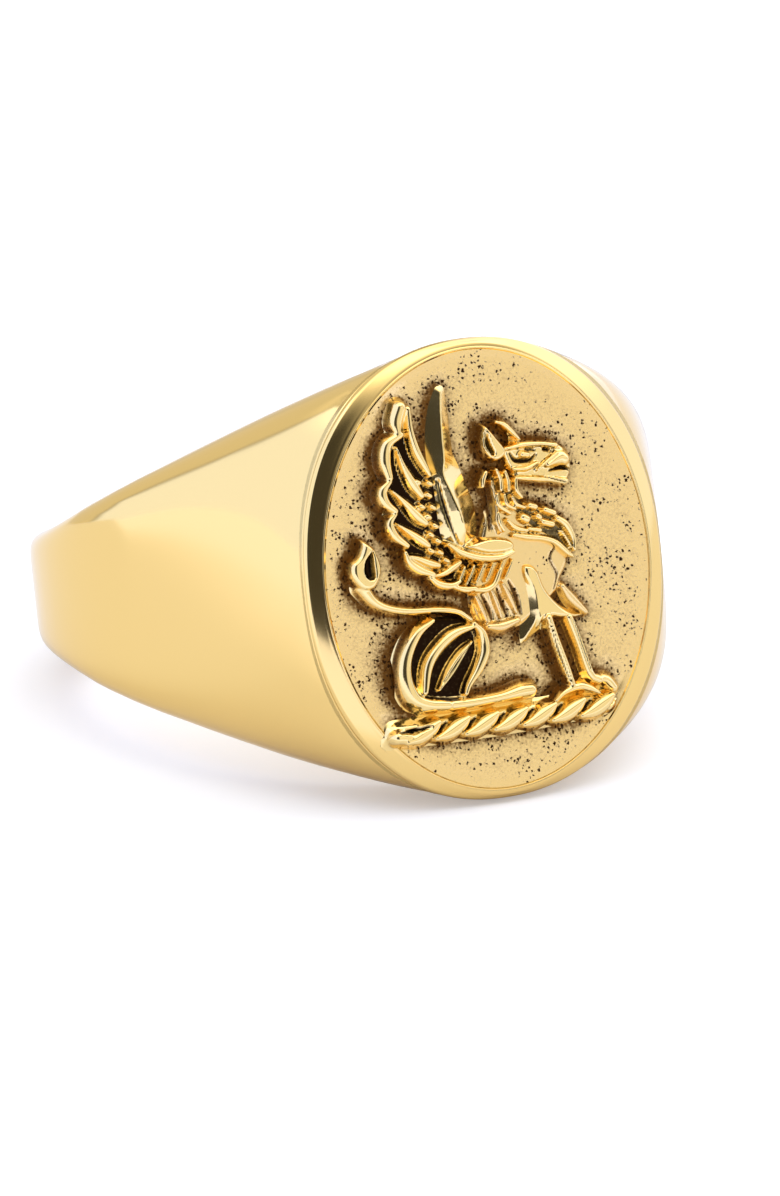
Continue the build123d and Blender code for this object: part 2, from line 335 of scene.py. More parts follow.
def make_body():
    """A torus whose vertices are slid out to the form, each by halving the length of its ray."""
    bm = bmesh.new()
    bmesh.ops.create_circle(bm, segments=SECTION_SIDES, radius=1.0)
    upright = Matrix.Translation((BORE_RADIUS, 0, 0))
    bmesh.ops.transform(bm, matrix=upright, verts=bm.verts)
    bmesh.ops.spin(bm, geom=bm.verts[:] + bm.edges[:], cent=(0, 0, 0), axis=(0, 1, 0),
                   angle=2 * math.pi, steps=TURNS, use_merge=True)
    co = np.array([vertex.co for vertex in bm.verts])
    turn = np.arctan2(co[:, 0], co[:, 2])
    tilt = np.arctan2(co[:, 1], np.hypot(co[:, 0], co[:, 2]) - BORE_RADIUS)
    low = np.zeros(len(co))
    high = np.full(len(co), FARTHEST)
    ray_out = np.maximum(np.cos(tilt), 0)
    ray_up = np.where(np.cos(tilt) > 1e-6, np.sin(tilt), np.sign(tilt))
    for _ in range(HALVINGS):
        reach = (low + high) / 2
        radius = BORE_RADIUS + reach * ray_out
        inside = is_inside(radius * np.sin(turn), reach * ray_up, radius * np.cos(turn))
        low = np.where(inside, reach, low)
        high = np.where(inside, high, reach)
    radius = BORE_RADIUS + low * ray_out
    height = low * ray_up
    in_bore = np.cos(tilt) < -1e-6
    height = np.where(in_bore, height * np.abs(np.sin(tilt)), height)
    for vertex, angle, far, up in zip(bm.verts, turn, radius, height):
        vertex.co = (far * math.sin(angle), up, far * math.cos(angle))
    return bm


body_bm = make_body()
print("body before the cut:", len(body_bm.faces), "faces")

# %% [markdown]
# The two edges of the bore are eased, as a wearer's finger needs, with the bevel operator.  The crown
# is then cut off flat at the seat of the rim with bisect_plane, and the cut is closed.

# %% Ease the bore's edges and cut the seat
EASE = 0.22
bore_edges = [edge for edge in body_bm.edges if len(edge.link_faces) == 2
              and edge.calc_face_angle() > math.radians(50)
              and abs(math.hypot(edge.verts[0].co.x, edge.verts[0].co.z) - BORE_RADIUS) < 0.01]
bmesh.ops.bevel(body_bm, geom=bore_edges, offset=EASE, segments=4, profile=0.5, affect="EDGES",
                material=-1)
everything = body_bm.verts[:] + body_bm.edges[:] + body_bm.faces[:]
cut = bmesh.ops.bisect_plane(body_bm, geom=everything, plane_co=(0, 0, SEAT_DISTANCE),
                             plane_no=(0, 0, 1), clear_outer=True)
seat_edges = [part for part in cut["geom_cut"] if isinstance(part, bmesh.types.BMEdge)]
bmesh.ops.holes_fill(body_bm, edges=seat_edges, sides=0)
for edge in (edge for edge in seat_edges if edge.is_valid):
    edge.smooth = False
finish_piece("ring_body", body_bm, RING, hoop_gold, "shank")

# %% [markdown]
# ## The rim
# A narrow polished rim frames the face.  Its outer edge is a wide bevel, which mirrors the dark side
# of the studio and draws the black line round the left of the face.  One profile of a few vertices is
# spun round and stretched to the body's outline, and both corners of its bevel are then softened.

# %% Make the rim
RIM_BEVEL = 0.39
RIM_DROP = 0.27
RIM_SOFTNESS = 0.14
RIM_SEGMENTS = 288


def outline_point(cosine, sine, out):
    """A point of the body's outline at a given distance out from the finger's axis."""
    power = 2 + (HOOP_SQUARENESS - 2) * (FACE_DISTANCE - out) / (FACE_DISTANCE - SQUARE_FROM)
    stretch = (abs(cosine) ** power + abs(sine) ** power) ** (-1 / power)
    return half_width(out) * cosine * stretch, half_height(out) * sine * stretch


def make_rim():
    """The rim as a profile spun round, in face coordinates."""
    bm = bmesh.new()
    depth = FACE_DISTANCE - SEAT_DISTANCE
    width = HEAD_HALF_WIDTH - PLATE_HALF_WIDTH
    profile = [(0, -depth), (0, -RIM_DROP), (RIM_BEVEL, 0), (width, 0), (width, -depth)]
    corners = [bm.verts.new((1 - inset, 0, height)) for inset, height in profile]
    for first, second in zip(corners, corners[1:] + corners[:1]):
        bm.edges.new((first, second))
    bmesh.ops.spin(bm, geom=bm.verts[:] + bm.edges[:], cent=(0, 0, 0), axis=(0, 0, 1),
                   angle=2 * math.pi, steps=RIM_SEGMENTS, use_merge=True)
    insets = {vertex: 1 - math.hypot(vertex.co.x, vertex.co.y) for vertex in bm.verts}
    ridges = [edge for edge in bm.edges
              if max(insets[vertex] for vertex in edge.verts) < RIM_BEVEL + 0.01
              and min(vertex.co.z for vertex in edge.verts) > -RIM_DROP - 0.01
              and abs(edge.verts[0].co.z - edge.verts[1].co.z) < 0.001]
    for vertex, inset in insets.items():
        cosine, sine = vertex.co.xy.normalized()
        level = FACE_DISTANCE + vertex.co.z if inset < RIM_BEVEL / 2 else FACE_DISTANCE
        outer_x, outer_y = outline_point(cosine, sine, level)
        vertex.co.x = outer_x - inset * cosine
        vertex.co.y = outer_y - inset * sine
    bmesh.ops.bevel(bm, geom=ridges, offset=RIM_SOFTNESS, segments=5, profile=0.5, affect="EDGES",
                    material=-1)
    return bm


finish_piece("polished_rim", make_rim(), FACE, hoop_gold, "bezel_rim")

# %% [markdown]
# ## How the relief is drawn
# A chaser sees a relief as forms pushed up from the plate: long tapering beads for feathers, legs and
# locks, and broad pads for haunch and breast.  Two small functions describe them by a few points in
# millimetres on the face.  The height at any place is the highest of the forms there, softly blended,
# so neighbours meet in a crease as they do under a punch.


# %% Beads and pads
SHARP = 1.5          # below this shape a bead is a roof of two flat facets
FACET_SLOPE = 0.78   # the steepest such a facet may be
OUTSIDE = -0.5       # height given to places outside every form
DOME = 1.25          # how soon a round bead falls away from its crest


def smooth_run(points, closed=False, steps=6):
    """A Catmull-Rom curve through rows of numbers, as rows close together."""
    rows = np.array(points, float)
    if closed:
        rows = np.vstack([rows[-1], rows, rows[:2]])
    else:
        rows = np.vstack([2 * rows[0] - rows[1], rows, 2 * rows[-1] - rows[-2]])
    share = np.arange(steps)[:, None] / steps
    run = []
    for before, start, end, after in zip(rows, rows[1:], rows[2:], rows[3:]):
        run.append(0.5 * (2 * start + (end - before) * share
                          + (2 * before - 5 * start + 4 * end - after) * share**2
                          + (3 * start - before - 3 * end + after) * share**3))
    return np.vstack(run + ([] if closed else [rows[-2:-1]]))


# A bead or a pad may be painted brown as shade, by a share from 0 to 1 among its settings.
def bead(*points, height=0.4, shape=2.4, painted_shade_level=0.0, fullness=1.25):
    """A tapering ridge along a crest. Each point is across, along and the width to either side (left
    then right of the way the points run, or one number for both); below shape SHARP it is a roof."""
    rows = np.array([point if len(point) == 4 else (*point, point[2]) for point in points])
    rows[:, 2:] *= 1 if shape < SHARP else fullness
    steps = 16 if shape < SHARP else 6
    return {"run": smooth_run(rows, steps=steps), "height": height, "shape": shape, "painted_shade_level": painted_shade_level}


def pad(*points, height=0.3, shoulder=0.3, shape=2.4, painted_shade_level=0.0):
    """A broad raised form inside a closed outline; shoulder is how far in from the edge it levels."""
    return {"outline": smooth_run(points, closed=True), "height": height, "shoulder": shoulder,
            "shape": shape, "painted_shade_level": painted_shade_level}


def furrow(*points, height=0.2, shape=2.0):
    """A bead that is cut into the forms instead of raised, and is painted dark as shade."""
    return dict(bead(*points, height=height, shape=shape, painted_shade_level=1.0, fullness=1.0), cut=True)


def height_of_bead(form, across_mm, along_mm):
    """Height of one bead over the places given, and below zero outside it."""
    best = np.full(across_mm.shape, 9.0)
    facets = np.full(across_mm.shape, OUTSIDE)
    run = form["run"]
    for start, end in zip(run, run[1:]):
        step = end[:2] - start[:2]
        length = max(float(step @ step), 1e-9)
        from_x, from_y = across_mm - start[0], along_mm - start[1]
        share = np.clip((from_x * step[0] + from_y * step[1]) / length, 0, 1)
        gap = np.hypot(from_x - share * step[0], from_y - share * step[1])
        on_left = step[0] * from_y - step[1] * from_x > 0
        left = start[2] + share * (end[2] - start[2])
        right = start[3] + share * (end[3] - start[3])
        width = np.maximum(np.where(on_left, left, right), 0.02)
        crest = np.minimum(form["height"], FACET_SLOPE * np.minimum(left, right))
        facets = np.maximum(facets, crest * (1 - gap / width))
        best = np.minimum(best, gap / width)
    if form["shape"] < SHARP:
        return facets
    return form["height"] * np.where(best < 1, (1 - np.minimum(best, 1) ** form["shape"]) ** DOME, 1 - best)


def height_of_pad(form, across_mm, along_mm):
    """Height of one pad over the places given, and below zero outside it."""
    outline = form["outline"]
    gap = np.full(across_mm.shape, 9.0)
    inside = np.zeros(across_mm.shape, bool)
    for start, end in zip(outline, np.roll(outline, -1, axis=0)):
        step = end - start
        from_x, from_y = across_mm - start[0], along_mm - start[1]
        share = np.clip((from_x * step[0] + from_y * step[1]) / float(step @ step), 0, 1)
        gap = np.minimum(gap, np.hypot(from_x - share * step[0], from_y - share * step[1]))
        if start[1] != end[1]:
            crossing = start[0] + from_y / step[1] * step[0]
            passes = (start[1] > along_mm) != (end[1] > along_mm)
            inside ^= passes & (across_mm < crossing)
    depth = np.where(inside, np.minimum(gap / form["shoulder"], 1), -gap / form["shoulder"])
    return form["height"] * (1 - (1 - depth) ** form["shape"])


def relief_height(forms, across_mm, along_mm, blend=0.03):
    """Soft maximum of the forms with the furrows cut in it, and how much painted shade each place gets."""
    height = np.full(across_mm.shape, OUTSIDE)
    shade_of_forms = np.zeros(across_mm.shape)
    for form in (form for form in forms if "cut" not in form):
        measure_form = height_of_pad if "outline" in form else height_of_bead
        one = np.maximum(measure_form(form, across_mm, along_mm), OUTSIDE)
        lean = np.clip(0.5 + 0.5 * (one - height) / blend, 0, 1)
        height = height * (1 - lean) + one * lean + blend * lean * (1 - lean)
        shade_of_forms = shade_of_forms * (1 - lean) + form["painted_shade_level"] * lean
    for form in (form for form in forms if "cut" in form):
        depth = np.maximum(height_of_bead(form, across_mm, along_mm), 0)
        height = height - depth
        shade_of_forms = np.maximum(shade_of_forms, depth / form["height"])
    return height, shade_of_forms


# %% [markdown]
# A relief piece is a fine grid over the forms, every vertex lifted to the height there.  Outside the
# forms the grid dives under the plate, so the edge that shows is the true line where the form leaves
# the plate.  What lies wholly under the plate is deleted and the opening is closed.  An attribute
# compares each height with the mean height some 0.15 mm round it, and paints shade where it is lower.

# %% Make a relief piece
GRID_MM = 0.04
MARGIN_MM = 0.15
UNDER_PLATE = -0.12
BLUR_PASSES = 40
# Painted shade on the relief: places lower than the mean height round them are painted brown.
PAINTED_SHADE_STARTS = 0.02     # this far below the mean height the brown begins
PAINTED_SHADE_RANGE = 0.32      # and this much lower it is full


def blurred(field, times):
    """Mean of each value with its neighbours, repeated."""
    for _ in range(times):
        padded = np.pad(field, 1, mode="edge")
        field = (padded[:-2, 1:-1] + padded[2:, 1:-1] + padded[1:-1, :-2] + padded[1:-1, 2:]
                 + 2 * padded[1:-1, 1:-1]) / 6
    return field


def make_relief(name, node, forms, blend=0.03, material=relief_gold):
    """One relief piece from its forms."""
    reach = []
    for form in forms:
        if "outline" in form:
            reach.append(form["outline"])
        else:
            crest, widths = form["run"][:, :2], form["run"][:, 2:]
            reach += [crest - widths, crest + widths]
    low = np.vstack(reach).min(axis=0) - MARGIN_MM
    high = np.vstack(reach).max(axis=0) + MARGIN_MM
    columns, rows = (int(count) for count in np.ceil((high - low) / GRID_MM))
    bm = bmesh.new()
    bmesh.ops.create_grid(bm, x_segments=columns, y_segments=rows, size=0.5)
    bm.verts.ensure_lookup_table()
    co = np.array([vertex.co[:2] for vertex in bm.verts])
    co = (co + 0.5) * (high - low) + low
    height, shade_of_forms = relief_height(forms, co[:, 0], co[:, 1], blend)
    order = np.lexsort((co[:, 0].round(4), co[:, 1].round(4)))
    field = np.maximum(height[order], 0).reshape(rows + 1, columns + 1)
    # Painted shade: brown where the height lies below the mean round it, and on furrows and dark pads.
    painted_shade = np.empty(len(co))
    painted_shade[order] = ((blurred(field, BLUR_PASSES) - field - PAINTED_SHADE_STARTS) / PAINTED_SHADE_RANGE).ravel()
    painted_shade = np.clip(np.maximum(painted_shade, shade_of_forms), 0, 1)
    layer = bm.verts.layers.float.new("painted_shade")
    for vertex, place, up, dark in zip(bm.verts, co, height, painted_shade):
        vertex.co = (place[0], place[1], max(up, UNDER_PLATE))
        vertex[layer] = dark
    hidden = [face for face in bm.faces if max(vertex.co.z for vertex in face.verts) < UNDER_PLATE + 0.001]
    bmesh.ops.delete(bm, geom=hidden, context="FACES")
    bmesh.ops.holes_fill(bm, edges=[edge for edge in bm.edges if edge.is_boundary], sides=0)
    finish_piece(name, bm, FACE, material, node)


# %% [markdown]
# ## The wreath
# The beast sits on a twisted roll of cloth.  Every turn of the twist is one slanted bead, and all the
# beads are the same, so a loop lays them side by side.

# %% Wreath
WREATH_TURNS = 7
TURN_PITCH = 1.1
wreath_forms = [bead((-4.12, -5.2, 0.34), (0.0, -5.22, 0.37), (3.85, -5.16, 0.32), height=0.26, shape=3.0)]
for turn_index in range(WREATH_TURNS):
    left = -3.4 + TURN_PITCH * turn_index
    wreath_forms.append(bead(
        (left - 0.48, -5.46, 0.16), (left, -5.36, 0.31), (left + 0.45, -5.15, 0.31),
        (left + 0.74, -4.93, 0.15), height=0.58, shape=3.0))
    wreath_forms.append(furrow(
        (left + 0.50, -5.42, 0.02), (left + 0.80, -5.22, 0.08), (left + 1.12, -5.02, 0.05), height=0.16))
wreath_forms.append(bead((-4.18, -5.28, 0.28), (-3.8, -5.34, 0.29), height=0.56, shape=3.0))
wreath_forms.append(furrow((-4.1, -5.12, 0.04), (-3.6, -5.12, 0.09), (-3.0, -5.05, 0.04), height=0.22))
make_relief("twisted_wreath", "wreath", wreath_forms, blend=0.02)

# %% [markdown]
# ## The seated haunch
# Three curved ridges follow the thigh, with deep dark furrows between them, and a leaf-shaped muscle
# lies in the middle.  The foot is one long flat pad that lies on the wreath.

# %% Hind leg
hind_leg_forms = [
    # The low pad under the ridges is painted dark, as shade between them.
    pad((-2.5, -1.45), (-3.3, -2.0), (-3.7, -2.9), (-3.5, -4.2), (-2.4, -4.4), (-1.4, -4.1), (-0.6, -3.2),
        (-0.5, -2.3), (-1.1, -1.6), height=0.10, shoulder=0.15, painted_shade_level=0.95),
    bead((-2.45, -1.45, 0.08, 0.10), (-3.05, -1.85, 0.16, 0.24), (-3.50, -2.6, 0.18, 0.32),
         (-3.60, -3.35, 0.22, 0.34), (-3.38, -4.0, 0.26, 0.36), (-2.9, -4.30, 0.26), (-2.2, -4.42, 0.24),
         height=0.50, shape=3.0),
    bead((-0.98, -1.85, 0.12), (-1.7, -2.00, 0.24), (-2.35, -2.42, 0.27, 0.24), (-2.78, -3.0, 0.22, 0.27),
         (-3.00, -3.85, 0.12, 0.22), height=0.52, shape=2.6),
    bead((-1.08, -2.36, 0.06), (-1.5, -2.74, 0.19), (-1.98, -3.3, 0.22), (-2.48, -3.85, 0.06),
         height=0.44, shape=2.2),
    furrow((-1.2, -2.48, 0.02), (-1.75, -3.05, 0.05), (-2.3, -3.64, 0.02), height=0.10),
    bead((-0.95, -1.75, 0.12), (-0.66, -2.15, 0.22), (-0.60, -2.75, 0.22, 0.28), (-0.90, -3.3, 0.20, 0.24),
         (-1.35, -3.8, 0.15), (-1.52, -4.1, 0.12), height=0.52, shape=2.8),
    bead((-3.1, -4.36, 0.24), (-2.2, -4.43, 0.24), (-1.2, -4.46, 0.23), (-0.2, -4.42, 0.22),
         (0.6, -4.34, 0.29), (0.98, -4.34, 0.28), height=0.46, shape=2.8),
]
make_relief("haunch_and_hind_foot", "hind_leg", hind_leg_forms)

# %% [markdown]
# ## The tail
# One thin bead in a long double curve ends in a flame-shaped tuft with a raised lip.

# %% Tail
tail_forms = [
    bead((-4.85, 0.0, 0.26), (-4.5, -0.52, 0.21), (-4.0, -0.83, 0.18), (-3.2, -1.03, 0.16),
         (-2.2, -1.12, 0.15), (-1.45, -1.28, 0.14), (-1.0, -1.62, 0.12), height=0.38, shape=2.6),
    pad((-4.72, 1.65), (-4.3, 1.38), (-4.08, 0.8), (-4.12, 0.3), (-4.45, -0.15), (-4.95, -0.15),
        (-5.3, 0.3), (-5.3, 0.85), (-4.98, 1.15), (-4.85, 1.4), height=0.50, shoulder=0.24, shape=2.2),
    furrow((-4.44, 1.18, 0.05), (-4.58, 0.82, 0.20), (-4.60, 0.52, 0.23), (-4.56, 0.38, 0.18),
           height=0.26, shape=3.0),
]
make_relief("tail_and_tuft", "tail", tail_forms)

# %% [markdown]
# ## The body
# Breast and belly lie low behind the legs and the wing.  Ribs are three short slanted beads.

# %% Body
body_forms = [
    pad((0.5, 2.7), (-0.1, 1.5), (-0.5, 0.2), (-0.85, -0.8), (-0.75, -1.6), (-0.35, -2.05), (0.3, -2.25),
        (0.9, -2.1), (1.6, -1.7), (2.4, -1.1), (2.6, -0.7), (2.95, -0.05), (2.6, 0.7), (1.6, 1.5),
        (1.0, 2.2), height=0.16, shoulder=0.18),
    bead((-0.72, -0.85, 0.10), (-0.55, -1.3, 0.15), (-0.42, -1.75, 0.10), height=0.38, shape=2.0),
    bead((-0.12, -0.72, 0.10), (0.04, -1.2, 0.16), (0.14, -1.7, 0.10), height=0.40, shape=2.0),
    bead((0.32, -0.55, 0.10), (0.52, -1.0, 0.16), (0.72, -1.6, 0.10), height=0.40, shape=2.0),
    furrow((-0.45, -0.8, 0.04), (-0.25, -1.3, 0.10), (-0.15, -1.75, 0.04), height=0.10),
    furrow((0.15, -0.7, 0.04), (0.30, -1.2, 0.09), (0.42, -1.7, 0.04), height=0.10),
    furrow((0.62, -0.5, 0.04), (0.82, -1.0, 0.10), (0.95, -1.7, 0.04), height=0.10),
    bead((-0.35, -1.95, 0.16), (0.15, -2.02, 0.24), (0.75, -1.88, 0.16), height=0.38, shape=2.4),
    bead((0.3, 3.0, 0.08), (0.40, 2.2, 0.11), (0.38, 1.6, 0.15), (0.45, 1.25, 0.10), height=0.40, shape=2.2),
    furrow((0.12, 2.7, 0.05), (0.16, 2.0, 0.09), (0.14, 1.35, 0.06), height=0.10),
    furrow((2.62, 0.55, 0.03), (2.25, 0.1, 0.04), (2.45, -0.5, 0.04), (2.3, -1.0, 0.03), height=0.05),
    bead((2.62, -0.95, 0.12), (2.95, -1.45, 0.20), (3.4, -1.95, 0.12), height=0.26),
]
make_relief("breast_and_ribs", "body", body_forms, material=ground_gold)

# %% [markdown]
# ## The forelegs
# The near leg starts in a pointed drape of skin over the shoulder and ends in a spread paw.  Its
# crest lies to the left, so a broad facet there mirrors the dark of the studio.  The far leg stands
# behind it and is kept low, which is how a chaser shows distance.

# %% Near foreleg
near_foreleg_forms = [
    pad((1.15, 0.0), (1.5, 0.02), (1.78, -0.25), (2.0, -0.9), (2.45, -1.5), (2.95, -1.88), (3.35, -2.03),
        (2.6, -2.14), (1.95, -2.0), (1.72, -2.1), (1.5, -2.3), (1.4, -1.9), (1.3, -1.0), (1.1, -0.4),
        height=0.34, shoulder=0.22, shape=1.8),
    bead((1.22, 0.02, 0.12, 0.12), (1.42, -0.45, 0.36, 0.40), (1.55, -1.2, 0.50, 0.46),
         (1.48, -1.9, 0.36, 0.40), (1.08, -2.55, 0.06, 0.10), height=0.52, shape=1.15),
    bead((1.88, -1.95, 0.20, 0.16), (2.06, -2.7, 0.20, 0.17), (2.32, -3.6, 0.19, 0.17),
         (2.52, -4.4, 0.18, 0.16), height=0.50, shape=2.8),
    furrow((1.90, -2.2, 0.02), (2.12, -3.2, 0.04), (2.42, -4.2, 0.02), height=0.07),
    bead((1.80, -4.84, 0.10), (2.2, -4.58, 0.16), (2.75, -4.46, 0.22), (3.15, -4.58, 0.20),
         (3.48, -4.78, 0.10), height=0.50, shape=2.4),
]
make_relief("near_foreleg_with_paw", "near_foreleg", near_foreleg_forms)

# %% Far foreleg
far_foreleg_forms = [
    bead((2.72, -2.05, 0.18), (3.0, -3.0, 0.18), (3.3, -4.1, 0.19), (3.6, -4.35, 0.21),
         height=0.36, shape=2.8),
    furrow((2.85, -2.2, 0.02), (3.08, -3.1, 0.04), (3.32, -4.0, 0.02), height=0.08),
    bead((3.4, -4.3, 0.18), (3.9, -4.4, 0.22), (4.15, -4.7, 0.20), height=0.32, shape=2.4),
]
make_relief("far_foreleg_with_paw", "far_foreleg", far_foreleg_forms)

# %% [markdown]
# ## The wing
# The leading bone is the largest plain form of the relief: a bright blade with one sharp ridge along
# it, so its left side mirrors the dark and its right side the light.  Behind it the feathers are
# leaves that overlap, inside a scalloped border, with a column of small round coverts between.

# %% Leading bone
wing_arm_forms = [
    bead((-1.14, 6.27, 0.14, 0.12), (-1.27, 5.6, 0.30, 0.30), (-1.34, 4.7, 0.38, 0.42),
         (-1.38, 3.95, 0.46, 0.42), (-1.44, 3.45, 0.64, 0.38), (-1.24, 2.75, 0.68, 0.54),
         (-1.06, 2.1, 0.72, 0.68), (-0.94, 1.5, 0.60, 0.74), (-0.85, 1.1, 0.30, 0.72),
         height=0.52, shape=1.0),
    bead((-1.60, 1.08, 0.10), (-1.1, 0.70, 0.20), (-0.4, 0.44, 0.20), (0.3, 0.38, 0.18), (0.78, 0.50, 0.14),
         height=0.56, shape=2.4),
    pad((-1.0, 0.90), (-0.3, 1.13), (0.4, 1.10), (0.85, 0.92), (0.95, 0.62), (0.6, 0.42), (-0.3, 0.5),
        height=0.50, shoulder=0.22, shape=2.4),
    furrow((-1.62, 3.3, 0.03), (-1.50, 2.4, 0.08), (-1.30, 1.5, 0.06), (-1.15, 1.05, 0.03), height=0.05),
]
make_relief("wing_leading_bone", "wing_arm", wing_arm_forms)

# %% Feathers
scallops = [
    ((-2.78, 5.92, 0.24), (-2.98, 5.45, 0.24), (-3.0, 5.05, 0.14)),
    ((-2.9, 5.02, 0.14), (-3.4, 4.74, 0.20), (-3.55, 4.2, 0.22), (-3.48, 3.6, 0.16)),
    ((-3.5, 3.48, 0.12), (-3.78, 3.15, 0.19), (-3.70, 2.75, 0.19), (-3.40, 2.45, 0.13)),
    ((-3.42, 2.35, 0.10), (-3.64, 2.05, 0.16), (-3.50, 1.6, 0.18), (-3.1, 1.22, 0.12)),
    ((-3.2, 1.0, 0.08), (-3.05, 0.62, 0.16), (-2.7, 0.32, 0.18), (-2.25, 0.12, 0.12)),
    ((-2.35, 0.0, 0.10), (-2.05, -0.25, 0.16), (-1.62, -0.36, 0.15), (-1.3, -0.25, 0.08)),
    ((-1.5, -0.42, 0.10), (-1.1, -0.56, 0.15), (-0.75, -0.56, 0.10)),
    ((-0.75, -0.62, 0.10), (-0.35, -0.66, 0.14), (0.0, -0.5, 0.13), (0.25, -0.05, 0.10)),
]
quills = [
    ((-2.52, 5.85, 0.12), (-2.50, 5.1, 0.14), (-2.35, 4.4, 0.17), (-2.1, 3.8, 0.14), (-1.98, 3.5, 0.08)),
    ((-3.10, 4.6, 0.03), (-2.92, 3.95, 0.12), (-2.62, 3.3, 0.18), (-2.35, 2.85, 0.14)),
    ((-3.42, 3.15, 0.03), (-2.95, 2.62, 0.14), (-2.55, 2.15, 0.19), (-2.3, 1.9, 0.14)),
    ((-3.38, 2.0, 0.03), (-2.95, 1.65, 0.13), (-2.5, 1.3, 0.17), (-2.3, 1.12, 0.12)),
    ((-3.2, 0.9, 0.03), (-2.75, 0.72, 0.12), (-2.3, 0.5, 0.16), (-2.0, 0.4, 0.12)),
    ((-2.25, 0.05, 0.04), (-1.8, 0.1, 0.12), (-1.4, 0.28, 0.14), (-1.2, 0.4, 0.10)),
]
small_coverts = [(-2.48, 3.35), (-2.05, 3.25), (-2.12, 2.85), (-2.42, 2.5), (-2.02, 2.42), (-2.22, 2.12),
                 (-2.0, 1.78), (-2.2, 1.5), (-1.95, 1.25), (-2.25, 0.95), (-1.92, 0.85), (-1.72, 0.55)]
feather_forms = [
    # The low pad under the feathers is painted dark, as shade between them.
    pad((-2.7, 5.9), (-3.1, 5.1), (-3.5, 4.5), (-3.5, 3.6), (-3.7, 3.0), (-3.4, 2.4), (-3.55, 1.8),
        (-3.1, 1.1), (-2.7, 0.4), (-2.1, -0.15), (-1.2, -0.5), (-0.3, -0.6), (0.2, 0.0), (-0.6, 0.8),
        (-1.6, 1.2), (-1.75, 3.4), (-2.3, 4.4), (-2.45, 5.6), height=0.06, shoulder=0.12, painted_shade_level=1.0),
]
feather_forms += [bead(*line, height=0.48, shape=3.0, fullness=1.4) for line in scallops]
feather_forms += [bead(*line, height=0.44, shape=2.4, fullness=1.6) for line in quills]
feather_forms += [bead((x, y, 0.13), (x + 0.1, y - 0.06, 0.13), height=0.40, shape=2.4)
                  for x, y in small_coverts]
COVERT_PITCH = 0.36
for row_index in range(6):
    top = -1.25 + COVERT_PITCH * row_index
    feather_forms.append(bead((top + 0.2, 0.22, 0.08), (top + 0.06, -0.05, 0.13), (top - 0.16, -0.38, 0.06),
                              height=0.46, shape=1.6))
make_relief("wing_feathers_fan", "wing_feathers", feather_forms, blend=0.015)

# %% [markdown]
# ## The head and the mane
# Ears, brow, muzzle and jaw are beads over a low pad, and eye, nostril and mouth are furrows.  The
# mane is a gathering of short curls that run down to a pointed lock on the breast.

# %% Head
head_forms = [
    # The low pad is painted a little dark, as shade between the features.
    pad((0.95, 4.1), (1.6, 4.2), (2.4, 4.12), (2.95, 4.02), (3.3, 3.75), (3.46, 3.35), (3.36, 2.85),
        (3.05, 2.5), (2.4, 2.62), (1.7, 2.8), (1.2, 3.1), (0.95, 3.6), height=0.24, shoulder=0.14,
        shape=2.0, painted_shade_level=0.35),
    pad((0.2, 4.97), (0.03, 4.4), (0.13, 3.9), (0.5, 3.60), (0.90, 3.75), (1.00, 4.05), (0.74, 4.45),
        (0.44, 4.85), height=0.50, shoulder=0.20, shape=2.2),
    furrow((0.27, 4.75, 0.03), (0.28, 4.3, 0.12), (0.42, 3.95, 0.10), height=0.34, shape=1.6),
    bead((0.72, 5.0, 0.07), (1.02, 4.85, 0.17), (1.36, 4.48, 0.13), (1.5, 4.3, 0.06), height=0.46, shape=2.0),
    bead((0.98, 4.05, 0.10), (1.6, 4.10, 0.15), (2.3, 4.05, 0.13), (2.85, 3.93, 0.14),
         height=0.46, shape=2.2),
    bead((1.55, 3.78, 0.15), (1.75, 3.74, 0.14), height=0.46, shape=2.8),
    furrow((1.15, 3.85, 0.05), (1.35, 3.58, 0.10), (1.85, 3.52, 0.08), (2.1, 3.7, 0.04), height=0.16),
    furrow((1.75, 3.92, 0.05), (2.05, 3.86, 0.05), height=0.12),
    bead((1.2, 3.3, 0.10), (1.7, 3.28, 0.15), (2.1, 3.42, 0.10), height=0.38, shape=2.0),
    bead((2.05, 3.18, 0.07), (2.4, 3.42, 0.11), (2.85, 3.68, 0.10), height=0.50, shape=1.8),
    bead((2.45, 3.3, 0.12), (2.95, 3.48, 0.30), (3.12, 3.42, 0.28), height=0.48, shape=2.6),
    furrow((2.45, 3.84, 0.08), (2.62, 3.78, 0.06), height=0.22),
    furrow((2.55, 3.08, 0.03), (3.05, 3.12, 0.09), (3.34, 3.02, 0.05), height=0.30),
    bead((1.2, 3.0, 0.09), (1.9, 2.88, 0.14), (2.6, 2.76, 0.14), (3.1, 2.66, 0.15), height=0.46, shape=2.4),
    furrow((2.3, 2.90, 0.02), (2.7, 2.76, 0.04), (3.1, 2.62, 0.03), height=0.16),
]
make_relief("beast_head", "head", head_forms, blend=0.02)

